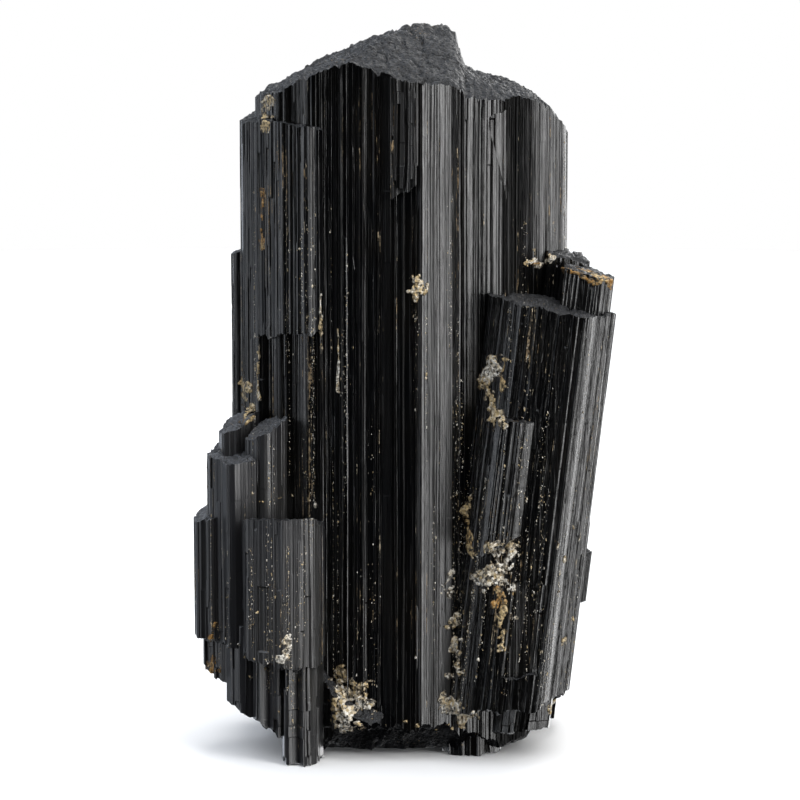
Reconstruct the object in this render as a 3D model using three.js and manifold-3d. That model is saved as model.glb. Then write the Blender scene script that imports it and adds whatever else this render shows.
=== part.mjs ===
// A hand specimen of black tourmaline, standing on its broken base. Millimetres, +Z up, -Y is the front.
// The big striated prism has two bunches of smaller crystals against its flanks, and pale feldspar sits
// in the seams and pits. Crystals of one bunch overlap, so each bunch is one solid.
import * as THREE from "three";
import { mergeVertices } from "three/addons/utils/BufferGeometryUtils.js";
import Module from "manifold-3d";

const wasm = await Module();
wasm.setup();

// Driving dimensions
const GAP = 0.3; // between solids that touch
const TALL = 116; // level the termination's slopes are measured from, 0.6 under its highest point
const RIM = 6.2; // front rim of the broken base, which steps back below it
const LEAN = THREE.MathUtils.degToRad(6.6); // of the leaning crystals, towards +X
const BIG = 200; // side of a cutting block

const LEVEL = [0, 0]; // an end face that is square to the axis; otherwise its slope along X and Y

const SCHORL = new THREE.MeshStandardMaterial({ color: 0x101113, roughness: 0.28, metalness: 0 });
const FELDSPAR = new THREE.MeshStandardMaterial({ color: 0xc9bda2, roughness: 0.75, metalness: 0 });

// The prism of the big crystal has a face every 30 degrees, as tourmaline does. These are the distances of
// its faces from the axis, anticlockwise from the left face, 97.5 degrees left of the front.
const CORE_OUTLINE = faced(-97.5, [24, 21, 17.5, 17, 17, 19.5, 25.5, 28, 26, 22.5, 24, 25]);

// Columns that share its direction and are fused to it.
const MAIN_COLUMNS = [
  { outline: CORE_OUTLINE, low: RIM, high: TALL + 4 },
  // two columns on the left flank that end lower than the prism
  {
    outline: [[-26.4, 5.5], [-25.6, 0.4], [-23.2, -2.8], [-19, -2], [-19, 9], [-25.2, 10.4]],
    low: 40, high: 101.6, top: [0.3, 0.1],
  },
  {
    outline: [[-23.4, -2.4], [-19.5, -8.8], [-15, -12.5], [-12.4, -12.8], [-14, -4], [-20, 0]],
    low: 68, high: 101.3, top: [0, 0.1],
  },
  // a rough plate high on the front
  { outline: [[-2.2, -17.8], [1.6, -18.5], [3, -16], [-1, -15]], low: 91, high: 110 },
  // the lowest part of the front, left of the middle
  {
    outline: [[-13.2, -13.5], [-8.6, -17.6], [-3.4, -18.4], [-2, -12], [-12, -9]],
    low: 3.8, high: 12, top: [0, 1.4],
  },
  // columns of the left rear edge, the right rear edge and the back
  {
    outline: [[-28.3, 10], [-27.6, 5.6], [-24, 4], [-20, 10], [-21, 16], [-25.6, 15]],
    low: 17, high: 80.4, top: [0.4, 0],
  },
  {
    outline: [[24, 6], [27.5, 8.4], [26.4, 15.6], [20, 19.4], [18, 12]],
    low: 12, high: 78, top: [-0.2, -0.4],
  },
  {
    outline: [[6, 19], [9.4, 22.6], [2, 23.6], [-5.4, 23.6], [-4, 18]],
    low: 9, high: 96, top: [0.15, -0.5],
  },
  {
    outline: [[-12, 18], [-13, 22.6], [-19.4, 20.2], [-23, 14.6], [-18, 11]],
    low: 13, high: 66, top: [0.3, -0.2],
  },
  // the middle foot and the broken base behind the rim
  { outline: [[5.4, -8], [7.4, -12.4], [12, -13.4], [16.2, -9.6], [17, -3], [6, 1]], low: 0, high: 12 },
  {
    outline: [[-14, -4], [-8, -8.6], [6, -8.4], [16, -2], [17, 11], [8, 17.6], [-8, 18], [-15, 10]],
    low: 0, high: 12,
  },
];

// The slopes of the termination: the height of each over the axis, less TALL, and how much it rises along X
// and Y. What is above them is broken away.
const TERMINATION = [[-0.5, 0.45, 0.04], [-2, -0.24, 0.32], [3.5, -0.03, -0.3], [12.5, -1.1, 0]].map(slope);

// Right of the summit the termination steps down to a lower slope.
const STEP = { at: [10, 0, TALL], normal: [1, 0.1, 0] };
const LOWER_SLOPE = slope([-4, -0.34, 0.03]);

// Short crystals on the lower left flank.
const LEFT_CRYSTALS = [
  // the broad slab in front, with a step down to its right
  {
    outline: [
      [-25.4, -16], [-24.4, -19.6], [-19, -22], [-14.4, -21], [-13.1, -18.6], [-12.6, -11], [-24, -8],
    ],
    low: 17, high: 39.2, top: [0, -0.2], foot: [-0.12, 0],
  },
  {
    outline: [[-31.6, -5], [-31, -8.5], [-27.6, -14.2], [-24.6, -13.6], [-20, -8], [-22, 1], [-29, 1]],
    low: 18, high: 48.4, top: [0.06, 0.1],
  },
  {
    outline: [[-33.9, -4], [-33.4, -8], [-30.6, -11.2], [-26, -9], [-28, 0], [-33, 0]],
    low: 18.6, high: 38.8, top: [0.4, 0.1],
  },
  {
    outline: [[-25.2, -9.6], [-22.8, -12.4], [-20.4, -11.6], [-18, -7], [-23, -4]],
    low: 36, high: 52.6, top: [0.5, 0.2],
  },
  {
    outline: [[-29.8, -4.6], [-28.6, -7.4], [-26.4, -7.6], [-23, -3], [-28, 0]],
    low: 42, high: 52.8, top: [0.5, 0.2],
  },
  {
    outline: [[-32.6, -4.6], [-30.6, -9], [-27.6, -11.4], [-22, -8], [-26, 1], [-31, 0]],
    low: 11.6, high: 22, foot: [-0.5, 0],
  },
  {
    outline: [[-28.4, -11], [-26, -14.6], [-22.4, -15.4], [-18, -9], [-24, -5]],
    low: 7, high: 22, foot: [-0.4, 0],
  },
  {
    outline: [[-24.4, -13.6], [-22.8, -17.4], [-19.8, -18.6], [-15, -14], [-18, -8]],
    low: 5, high: 20, foot: [-0.5, 0],
  },
  {
    outline: [[-19.6, -15], [-18.6, -19], [-15.6, -20], [-13.4, -17.4], [-12.6, -9], [-18, -9]],
    low: 0, high: 19,
  },
];

// Crystals on the right, which lean away from the big one. Their outlines are those at floor height.
const LEANING_CRYSTALS = [
  {
    outline: faced(-55, [11, 11, 9, 10, 10, 7.5], [15, -9]),
    low: 9, high: 72.8, top: [-0.2, 0.03], foot: [0.06, -0.02],
  },
  { outline: [[8, -17.6], [8.8, -22.4], [12, -23], [14.4, -18.6]], low: 36, high: 55.6, foot: [0.5, 0] },
  {
    outline: [[13.8, -3.4], [20, -4], [21.2, 1], [20, 6], [15, 6]],
    low: 56, high: 79.4, top: [-0.34, 0.06],
  },
  {
    outline: [[16.2, -10.8], [22.4, -12], [24.8, -7.4], [22, -1], [17, -3]],
    low: 60, high: 77.6, top: [-0.22, 0.05],
  },
  { outline: [[22, -7], [25.6, -6.6], [27.1, -3.4], [26, 0.6], [22, 0]], low: 23.4, high: 31.4 },
  {
    outline: [[13, -12], [17, -15.4], [22.6, -13.6], [24, -7], [18, -4]],
    low: 4.6, high: 14, foot: [0.1, 0],
  },
];

// Feldspar, as lumps: centre, half sizes and a turn about Y in degrees.
const FELDSPAR_LUMPS = {
  feldspar_on_shoulder: { centre: [-21.4, -5.4, 102.6], half: [1.6, 1.9, 3.1], turn: 20 },
  feldspar_in_front_pit: { centre: [2.1, -17.6, 75.6], half: [1.9, 1.3, 2.7], turn: 0 },
  feldspar_in_upper_seam: { centre: [14.2, -17.4, 60], half: [2.4, 2, 5.2], turn: 12 },
  feldspar_fork: { centre: [15.4, -20.4, 33], half: [3.2, 1.7, 4], turn: 30 },
  feldspar_in_lower_seam: { centre: [9.2, -16, 18], half: [2.4, 2.2, 6.8], turn: 4 },
  feldspar_in_lower_pit: { centre: [7, -15.8, 28.6], half: [1.5, 1.1, 2.3], turn: 0 },
  feldspar_at_base: { centre: [-8, -18, 9.2], half: [3.6, 1.7, 4.8], turn: 0 },
  feldspar_heel: { centre: [9, -15.6, 8.4], half: [2.8, 2.3, 2.6], turn: 0 },
  feldspar_on_left_flank: { centre: [-25.6, -3.8, 56], half: [1.3, 1.5, 2.6], turn: 16 },
  feldspar_on_left_crystal: { centre: [-18.4, -22.2, 19.8], half: [1.4, 1.1, 2.1], turn: 10 },
};

// The corners of a prism whose faces stand evenly round an axis, each at its own reach from it. The first
// face is turned that many degrees right of the front, and the rest follow anticlockwise.
function faced(first, reach, axis = [0, 0]) {
  const step = (2 * Math.PI) / reach.length;
  return reach.map((near, k) => {
    const turn = THREE.MathUtils.degToRad(first) + k * step;
    const along = (reach[(k + 1) % reach.length] - near * Math.cos(step)) / Math.sin(step);
    return [
      axis[0] + near * Math.sin(turn) + along * Math.cos(turn),
      axis[1] - near * Math.cos(turn) + along * Math.sin(turn),
    ];
  });
}

// A plane at a height over the axis, less TALL, that rises along X and Y.
function slope([over, alongX, alongY]) {
  return { at: [0, 0, TALL + over], normal: [-alongX, -alongY, 1] };
}

// Moves each side of a convex outline outwards by a distance, keeping its corners sharp.
function grown(outline, by) {
  const side = (a, b) => new THREE.Vector2(b[1] - a[1], a[0] - b[0]).normalize();
  return outline.map((corner, i) => {
    const before = side(outline.at(i - 1), corner);
    const after = side(corner, outline[(i + 1) % outline.length]);
    const step = by / (1 + before.dot(after));
    return [corner[0] + (before.x + after.x) * step, corner[1] + (before.y + after.y) * step];
  });
}

// A three.js geometry as a manifold-3d solid.
function solidOf(geometry) {
  const bare = geometry.clone();
  bare.deleteAttribute("normal");
  bare.deleteAttribute("uv");
  const merged = mergeVertices(bare, 1e-4);
  return new wasm.Manifold(new wasm.Mesh({
    numProp: 3,
    vertProperties: merged.attributes.position.array,
    triVerts: new Uint32Array(merged.index.array),
  }));
}

// One crystal: its outline drawn from a low to a high end, whose slopes are about the outline's middle.
function crystal({ outline, low, high, top = LEVEL, foot = LEVEL }, lean, grow) {
  const corners = grown(outline, grow);
  const shape = new THREE.Shape(corners.map(([x, y]) => new THREE.Vector2(x, y)));
  const geometry = new THREE.ExtrudeGeometry(shape, { depth: 1, bevelEnabled: false });
  const middle = [0, 1].map((k) => outline.reduce((sum, c) => sum + c[k], 0) / outline.length);
  const place = geometry.attributes.position;
  for (let i = 0; i < place.count; i++) {
    const x = place.getX(i);
    const y = place.getY(i);
    const atTop = place.getZ(i) > 0.5;
    const slope = atTop ? top : foot;
    const end = atTop ? high + grow : low - grow;
    const z = end + slope[0] * (x - middle[0]) + slope[1] * (y - middle[1]);
    place.setXYZ(i, x + Math.tan(lean) * z, y, z);
  }
  return solidOf(geometry);
}

const joined = (solids) => solids.reduce((all, one) => all.add(one));

const bunch = (crystals, lean, grow) => joined(crystals.map((one) => crystal(one, lean, grow)));

// A block whose lower face lies on the plane, to cut away what is above it.
function blockAbove({ at, normal }, lift) {
  const up = new THREE.Vector3(...normal).normalize();
  const block = new THREE.BoxGeometry(BIG, BIG, BIG);
  block.translate(0, 0, BIG / 2 + lift);
  block.applyQuaternion(new THREE.Quaternion().setFromUnitVectors(new THREE.Vector3(0, 0, 1), up));
  block.translate(...at);
  return solidOf(block);
}

function mainCrystal(grow) {
  const cuts = TERMINATION.map((plane) => blockAbove(plane, grow));
  cuts.push(blockAbove(STEP, grow).intersect(blockAbove(LOWER_SLOPE, grow)));
  return cuts.reduce((left, cut) => left.subtract(cut), bunch(MAIN_COLUMNS, 0, grow));
}

// A lump of grains: a faceted ball squashed to its half sizes.
function lump({ centre, half, turn }) {
  const ball = new THREE.IcosahedronGeometry(1, 1);
  ball.scale(...half);
  ball.rotateY(THREE.MathUtils.degToRad(turn));
  ball.translate(...centre);
  return solidOf(ball);
}

function meshOf(solid, name, material) {
  const { numProp, numVert, vertProperties, triVerts } = solid.getMesh();
  const places = new Float32Array(numVert * 3);
  for (let i = 0; i < numVert; i++) places.set(vertProperties.subarray(i * numProp, i * numProp + 3), i * 3);
  const geometry = new THREE.BufferGeometry();
  geometry.setAttribute("position", new THREE.BufferAttribute(places, 3));
  geometry.setIndex(new THREE.BufferAttribute(new Uint32Array(triVerts), 1));
  geometry.computeVertexNormals();
  const mesh = new THREE.Mesh(geometry, material);
  mesh.name = name;
  return mesh;
}

const specimen = new THREE.Group();

const main = mainCrystal(0);
const left = bunch(LEFT_CRYSTALS, 0, 0).subtract(mainCrystal(GAP));
const leaning = bunch(LEANING_CRYSTALS, LEAN, 0).subtract(mainCrystal(GAP));
specimen.add(meshOf(main, "main_crystal", SCHORL));
specimen.add(meshOf(left, "left_crystals", SCHORL));
specimen.add(meshOf(leaning, "leaning_crystals", SCHORL));

const cleared = joined([mainCrystal(GAP), bunch(LEFT_CRYSTALS, 0, GAP), bunch(LEANING_CRYSTALS, LEAN, GAP)]);
for (const [name, shape] of Object.entries(FELDSPAR_LUMPS)) {
  specimen.add(meshOf(lump(shape).subtract(cleared), name, FELDSPAR));
}

export default specimen;
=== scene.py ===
"""A hand specimen of black tourmaline: a thick striated prism, short crystals on its left flank, crystals
leaning away on its right, and pale feldspar in the seams. Shapes are worked out in millimetres, in the
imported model's frame, and put into the meshes in metres."""
import math

import bmesh
import bpy
import numpy as np
from mathutils import Matrix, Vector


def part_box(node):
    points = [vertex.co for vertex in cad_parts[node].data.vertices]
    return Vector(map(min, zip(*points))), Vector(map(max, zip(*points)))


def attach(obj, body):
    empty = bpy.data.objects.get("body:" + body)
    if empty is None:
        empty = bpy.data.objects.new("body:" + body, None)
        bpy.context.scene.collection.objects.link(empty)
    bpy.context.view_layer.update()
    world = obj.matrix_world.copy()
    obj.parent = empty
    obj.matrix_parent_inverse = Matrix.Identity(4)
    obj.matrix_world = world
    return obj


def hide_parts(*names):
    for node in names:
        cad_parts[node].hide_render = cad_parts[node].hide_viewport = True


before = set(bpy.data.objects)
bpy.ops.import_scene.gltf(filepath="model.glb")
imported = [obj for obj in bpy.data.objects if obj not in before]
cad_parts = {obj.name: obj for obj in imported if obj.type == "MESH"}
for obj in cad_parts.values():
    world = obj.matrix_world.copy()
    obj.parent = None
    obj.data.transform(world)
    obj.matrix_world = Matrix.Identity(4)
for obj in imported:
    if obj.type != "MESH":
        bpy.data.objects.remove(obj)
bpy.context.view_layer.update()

MM = 0.001
LEAN = math.radians(6.6)  # of the crystals on the right
FLOOR_GAP = 0.02  # of the floor under the specimen

# ---------------------------------------------------------------- chance and relief


def chance(i, j, seed):
    """An even random number from 0 to 1 for each pair of whole numbers, the same on every run."""
    i = np.asarray(i, dtype=np.int64)
    j = np.asarray(j, dtype=np.int64)
    h = (i * 374761393 + j * 668265263 + seed * 1442695041) & 0xFFFFFFFF
    h = ((h ^ (h >> 13)) * 1274126177) & 0xFFFFFFFF
    h = ((h ^ (h >> 15)) * 2246822519) & 0xFFFFFFFF
    return ((h ^ (h >> 16)) & 0xFFFFFF) / float(0xFFFFFF)


def drift(u, v, pitch, seed):
    """Soft relief from -1 to 1: chance at the corners of square cells, eased between them by 3t^2 - 2t^3."""
    u, v = np.asarray(u) / pitch, np.asarray(v) / pitch
    i, j = np.floor(u).astype(int), np.floor(v).astype(int)
    s, t = u - i, v - j
    s, t = s * s * (3 - 2 * s), t * t * (3 - 2 * t)
    low = chance(i, j, seed) * (1 - s) + chance(i + 1, j, seed) * s
    high = chance(i, j + 1, seed) * (1 - s) + chance(i + 1, j + 1, seed) * s
    return 2 * (low * (1 - t) + high * t) - 1


def cells(u, v, size, seed):
    """Grains that meet edge to edge: each point takes the chance value of the nearest scattered seed, and
    the second result is how far it lies from that seed, in grain sizes."""
    u, v = np.asarray(u) / size, np.asarray(v) / size
    i, j = np.floor(u).astype(int), np.floor(v).astype(int)
    near = np.full(u.shape, 9.0)
    value = np.zeros(u.shape)
    for a in (-1, 0, 1):
        for b in (-1, 0, 1):
            du = i + a + chance(i + a, j + b, seed) - u
            dv = j + b + chance(i + a, j + b, seed + 7) - v
            d = np.hypot(du, dv)
            closer = d < near
            near = np.where(closer, d, near)
            value = np.where(closer, chance(i + a, j + b, seed + 13), value)
    return value, near


# ---------------------------------------------------------------- meshes


def mesh_from(name, points, faces, finish, marks=None):
    """A piece from points in millimetres, faces and per-point marks."""
    mesh = bpy.data.meshes.new(name)
    mesh.from_pydata((np.asarray(points) * MM).tolist(), [], faces)
    mesh.materials.append(finish)
    for key, values in (marks or {}).items():
        layer = mesh.attributes.new(key, "FLOAT", "POINT")
        layer.data.foreach_set("value", np.asarray(values, dtype=np.float32))
    piece = bpy.data.objects.new(name, mesh)
    bpy.context.scene.collection.objects.link(piece)
    return piece


def drop(piece):
    mesh = piece.data
    bpy.data.objects.remove(piece)
    bpy.data.meshes.remove(mesh)


def combine(piece, other, how):
    """Joins the other solid to the piece, or cuts it away, and each face keeps its own finish."""
    step = piece.modifiers.new("combine", "BOOLEAN")
    step.object = other
    step.operation = how
    step.solver = "MANIFOLD"
    step.material_mode = "TRANSFER"
    graph = bpy.context.evaluated_depsgraph_get()
    made = bpy.data.meshes.new_from_object(piece.evaluated_get(graph))
    piece.modifiers.clear()
    old = piece.data
    piece.data = made
    bpy.data.meshes.remove(old)
    drop(other)
    return piece


def tube_faces(rows, columns):
    """Quads of a closed wall of rows and columns of points, outwards when the columns run anticlockwise."""
    r = np.arange(rows - 1)[:, None] * columns
    c = np.arange(columns)[None, :]
    d = (c + 1) % columns
    return np.stack([r + c, r + d, r + columns + d, r + columns + c], 2).reshape(-1, 4).tolist()


CORNER_INSET = 0.15  # of a side's first and last rib from its corners
LEAST_RISE = 0.015  # width of the narrowest riser
AWAY_WIDER = 2.2  # how much wider the ribs are on the sides that face away


def wander(rng, rows, count, reach):
    """For each rib, a slow change up the wall: smoothed random steps, scaled to the reach."""
    steps = rng.standard_normal((rows + 8, count))
    walk = np.cumsum(steps, axis=0)
    walk -= np.linspace(0, 1, rows + 8)[:, None] * walk[-1]
    walk = (walk[:-4] + walk[1:-3] + walk[2:-2] + walk[3:-1] + walk[4:]) / 5
    return reach * (walk / (walk.std(axis=0) + 0.5))[2 : 2 + rows]


def striation(corners, facets, rng, rows, width, groove, unrest):
    """The profile of a prism's faces, side by side round its outline, for each row up the wall. Each side is
    a run of ribs. A rib is a wide facet turned to the side's own crystal direction, a riser turned the other
    way, and sometimes a groove's far wall; their widths wander slowly up the wall, and are such that the rib
    ends on the side it began on. Gives x and y per row and column, each column's outward direction, its
    rib's number and whether it is a riser or groove, and how many ribs there are."""
    xs, outward, ribs, kinds = [], [], [], []
    count = 0
    for k, start in enumerate(corners):
        start = np.array(start, dtype=float)
        along = np.array(corners[(k + 1) % len(corners)], dtype=float) - start
        length = np.hypot(*along)
        along /= length
        out = np.array([along[1], -along[0]])
        turn = math.degrees(math.atan2(out[0], -out[1]))
        flat, riser, other, other_riser, share, spread = facets[k]
        hidden = AWAY_WIDER if 105 < abs(turn) < 180 else 1.0
        room = length - 2 * CORNER_INSET
        n = max(2, int(round(room / (width * hidden * 1.7))))
        wide = np.clip(width * hidden * np.exp(0.85 * rng.standard_normal(n)), 0.09, 4.0)
        turned = rng.random(n) < share
        jitter = np.where(rng.random(n) < 0.75, rng.normal(0, spread, n), rng.normal(0, 2.2 * spread, n))
        a1 = np.where(turned, other, flat)
        a2 = np.where(turned, other_riser, riser)
        wide = np.where(turned, wide * 0.6, wide)
        a1 = np.radians((a1 - turn + 180) % 360 - 180 + jitter)
        a2 = np.radians(np.clip((a2 - turn + 180) % 360 - 180, -68, 68) + rng.normal(0, 3.0, n))
        slope1, slope2, slope3 = -np.tan(a1), -np.tan(a2), np.tan(a2 * 0.8)
        far = np.where(rng.random(n) < groove, 0.14 * np.exp(0.7 * rng.standard_normal(n)), 0.0)
        wide = wide * np.exp(wander(rng, rows, n, unrest))
        far = far * np.exp(wander(rng, rows, n, unrest))
        rise = -(slope1 * wide + slope3 * far) / slope2
        back = rise < LEAST_RISE
        far = np.where(back, (LEAST_RISE * np.abs(slope2) + np.abs(slope1) * wide) / np.abs(slope3), far)
        rise = np.where(back, LEAST_RISE, rise)
        widths = np.stack([wide, rise, np.maximum(far, 0.008)], 2)
        slopes = np.stack([slope1, slope2, slope3], 1)
        widths *= room / widths.sum(axis=(1, 2))[:, None, None]
        s1 = np.cumsum(widths.reshape(rows, -1), axis=1) + CORNER_INSET
        s0 = s1 - widths.reshape(rows, -1)
        h1 = np.cumsum(widths * slopes, axis=2)
        h0 = (h1 - widths * slopes).reshape(rows, -1)
        h1 = h1.reshape(rows, -1)
        edge = np.minimum(0.005, widths.reshape(rows, -1) * 0.2)
        s = np.stack([s0 + edge, s1 - edge], 2).reshape(rows, -1)
        h = np.stack([h0, h1], 2).reshape(rows, -1)
        xs.append(start + along * s[:, :, None] + out * h[:, :, None])
        outward.append(np.tile(out, (6 * n, 1)))
        ribs.append(np.repeat(np.arange(n), 6) + count)
        kinds.append(np.tile([0, 0, 1, 1, 1, 1], n))
        count += n
    profile = np.concatenate(xs, axis=1)
    return profile, np.concatenate(outward), np.concatenate(ribs), np.concatenate(kinds), count


def prism(name, corners, facets, low, high, seed, finish, lean=0.0, width=0.24, groove=0.4, step=6.0, jog=0.1,
          unrest=0.09):
    """A striated crystal prism. Round it runs the striation profile; up it, each rib is cut into lengths
    at heights of its own, and every length stands out or in by its own small jog. So the wall is
    outline(s, row) + outward(s) * jog(rib, length), and it leans as x + tan(lean) z."""
    rng = np.random.default_rng(seed)
    breaks = max(1, int(round((high - low) / step)))
    n_rows = 2 * breaks + 2
    plan, outward, rib, kinds, count = striation(corners, facets, rng, n_rows, width, groove, unrest)
    pitch = (high - low) / (breaks + 1)
    heights = low + pitch * (np.arange(1, breaks + 1)[None, :] + 0.46 * rng.uniform(-1, 1, (count, breaks)))
    change = rng.random((count, breaks + 1)) < 0.35
    change[:, 0] = True
    draw = -jog * np.abs(rng.standard_normal((count, breaks + 1))).clip(0, 2.2)
    last = np.zeros(count, dtype=int)
    jogs = np.zeros((count, breaks + 1))
    for b in range(breaks + 1):
        last = np.where(change[:, b], b, last)
        jogs[:, b] = draw[np.arange(count), last]
    rows = np.empty((count, n_rows))
    rows[:, 0], rows[:, -1] = low, high
    ease = min(0.15, 0.03 * pitch)
    rows[:, 1:-1:2] = heights - ease
    rows[:, 2:-1:2] = heights + ease
    z = rows[rib].T
    d = np.repeat(jogs, 2, axis=1)[rib].T
    x = plan[:, :, 0] + outward[None, :, 0] * d + np.tan(lean) * z
    y = plan[:, :, 1] + outward[None, :, 1] * d
    points = np.stack([x, y, z], 2)
    n_columns = z.shape[1]
    faces = tube_faces(n_rows, n_columns)
    middle = np.mean(corners, axis=0)
    caps = [[middle[0] + np.tan(lean) * h, middle[1], h] for h in (low, high)]
    c = np.arange(n_columns)
    after = (c + 1) % n_columns
    base = n_rows * n_columns
    top = (n_rows - 1) * n_columns
    faces += np.stack([after, c, np.full(n_columns, base)], 1).tolist()
    faces += np.stack([top + c, top + after, np.full(n_columns, base + 1)], 1).tolist()
    tone = rng.random(count)[rib]
    dust = np.where(kinds > 0, 1.0, 0.4) * rng.random(count)[rib]
    marks = {
        "tone": np.append(np.tile(tone, n_rows), [0.5, 0.5]),
        "dust": np.append(np.tile(dust, n_rows), [0.0, 0.0]),
    }
    return mesh_from(name, np.vstack([points.reshape(-1, 3), caps]), faces, finish, marks)


def broken_block(spans, pitch, far, surface, finish, place=None):
    """A block with one broken face. Over a grid of u and v the broken face is w = surface(u, v), and the
    opposite face is flat at w = far. place turns u, v, w into x, y, z; without it they are x, y, z."""
    (u0, u1), (v0, v1) = spans
    us = np.linspace(u0, u1, max(3, int(round((u1 - u0) / pitch)) + 1))
    vs = np.linspace(v0, v1, max(3, int(round((v1 - v0) / pitch)) + 1))
    u, v = np.meshgrid(us, vs, indexing="ij")
    w = surface(u, v)
    near = np.stack([u, v, w], 2).reshape(-1, 3)
    ring = [(i, 0) for i in range(len(us))] + [(len(us) - 1, j) for j in range(1, len(vs))]
    ring += [(i, len(vs) - 1) for i in range(len(us) - 2, -1, -1)]
    ring += [(0, j) for j in range(len(vs) - 2, 0, -1)]
    ring = np.array([i * len(vs) + j for i, j in ring])
    rim = near[ring].copy()
    rim[:, 2] = far
    points = np.vstack([near, rim, [[(u0 + u1) / 2, (v0 + v1) / 2, far]]])
    i = np.arange(len(us) - 1)[:, None] * len(vs)
    j = np.arange(len(vs) - 1)[None, :]
    quads = np.stack([i + j, i + j + 1, i + len(vs) + j + 1, i + len(vs) + j], 2).reshape(-1, 4)
    c = np.arange(len(ring))
    d = (c + 1) % len(ring)
    sides = np.stack([ring[c], ring[d], len(near) + d, len(near) + c], 1)
    lid = np.stack([len(near) + c, len(near) + d, np.full(len(ring), len(points) - 1)], 1)
    above = far > w.mean()
    if not above:
        quads, sides, lid = quads[:, ::-1], sides[:, ::-1], lid[:, ::-1]
    if place is not None:
        points = points @ np.asarray(place[1]) + np.asarray(place[0])
        if np.linalg.det(np.asarray(place[1])) < 0:
            quads, sides, lid = quads[:, ::-1], sides[:, ::-1], lid[:, ::-1]
    faces = quads.tolist() + sides.tolist() + lid.tolist()
    return mesh_from("cut", points, faces, finish)


def end_relief(x, y, seed, rough=1.0):
    """A broken or rough-grown end: domed grains of two sizes, terraces, a slow swell and a few cracks."""
    fine, near = cells(x + 0.3 * drift(x, y, 1.1, seed + 9), y, 0.6, seed)
    coarse, far = cells(x, y + 0.6 * drift(x, y, 2.0, seed + 8), 2.4, seed + 1)
    crack = np.clip(1 - np.abs(drift(x, y, 6.0, seed + 5)) / 0.09, 0, 1)
    grain = 0.26 * (fine - 0.5) - 0.30 * near**2
    swell = drift(x, y, 7, seed + 2)
    return rough * (1.5 * grain + 0.6 * (coarse - 0.5) - 0.3 * far**2 + 0.35 * swell - 0.8 * crack)


# ---------------------------------------------------------------- shading


class Shade:
    """A socket of a material's tree. Arithmetic on it adds Math nodes."""

    def __init__(self, tree, socket):
        self.tree, self.socket = tree, socket

    def _math(self, operation, *values):
        return self.tree.node("ShaderNodeMath", {"operation": operation}, *values)

    def __add__(self, other):
        return self._math("ADD", self, other)

    def __radd__(self, other):
        return self._math("ADD", other, self)

    def __sub__(self, other):
        return self._math("SUBTRACT", self, other)

    def __rsub__(self, other):
        return self._math("SUBTRACT", other, self)

    def __mul__(self, other):
        return self._math("MULTIPLY", self, other)

    def most(self, other):
        return self._math("MAXIMUM", self, other)

    def size(self):
        return self._math("ABSOLUTE", self)


class Tree:
    """A material's or the world's node tree."""

    def __init__(self, owner):
        owner.use_nodes = True
        self.tree = owner.node_tree
        self.tree.nodes.clear()

    def node(self, kind, settings, *values, out=0, **named):
        """A node of any kind: its settings first, then its sockets in order or by name."""
        node = self.tree.nodes.new(kind)
        for key, value in settings.items():
            setattr(node, key, value)
        for key, value in [*enumerate(values), *named.items()]:
            key = key.replace("_", " ") if isinstance(key, str) else key
            if isinstance(value, Shade):
                self.tree.links.new(value.socket, node.inputs[key])
            elif value is not None:
                node.inputs[key].default_value = value
        return Shade(self, node.outputs[out]) if node.outputs else None

    def place(self, scale=(1, 1, 1), turn=(0, 0, 0)):
        """Object coordinates in millimetres, turned and then scaled."""
        coordinates = self.node("ShaderNodeTexCoord", {}, out="Object")
        named = {"Vector": coordinates, "Rotation": turn, "Scale": tuple(1000 * s for s in scale)}
        return self.node("ShaderNodeMapping", {"vector_type": "POINT"}, **named)

    def parts(self, vector):
        """The x, y and z of a vector."""
        split = self.tree.nodes.new("ShaderNodeSeparateXYZ")
        self.tree.links.new(vector.socket, split.inputs[0])
        return [Shade(self, s) for s in split.outputs]

    def noise(self, vector, detail, rough):
        named = {"Vector": vector, "Scale": 1.0, "Detail": detail, "Roughness": rough}
        return self.node("ShaderNodeTexNoise", {"noise_dimensions": "3D"}, **named)

    def ramp(self, value, low, high):
        """0 below low, 1 above high, and even between."""
        return self.node("ShaderNodeMapRange", {"clamp": True}, value, low, high, 0.0, 1.0)

    def mark(self, key):
        return self.node("ShaderNodeAttribute", {"attribute_name": key}, out="Fac")

    def mix(self, factor, a, b):
        """Colour a, turning to b as the factor goes from 0 to 1."""
        node = self.tree.nodes.new("ShaderNodeMix")
        node.data_type = "RGBA"
        for socket, value in ((node.inputs[0], factor), (node.inputs[6], a), (node.inputs[7], b)):
            if isinstance(value, Shade):
                self.tree.links.new(value.socket, socket)
            else:
                socket.default_value = value if isinstance(value, float) else (*value, 1)
        return Shade(self, node.outputs[2])

    def bump(self, height, strength, reach, under=None):
        named = {"Strength": strength, "Distance": reach, "Height": height}
        if under is not None:
            named["Normal"] = under
        return self.node("ShaderNodeBump", {}, **named)

    def finish(self, **sockets):
        shader = self.node("ShaderNodeBsdfPrincipled", {}, **sockets)
        self.node("ShaderNodeOutputMaterial", {}, shader)


SCHORL_IOR = 1.65
CREAM = (0.56, 0.49, 0.36)
TAN = (0.30, 0.21, 0.11)
OCHRE = (0.33, 0.17, 0.04)


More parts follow.
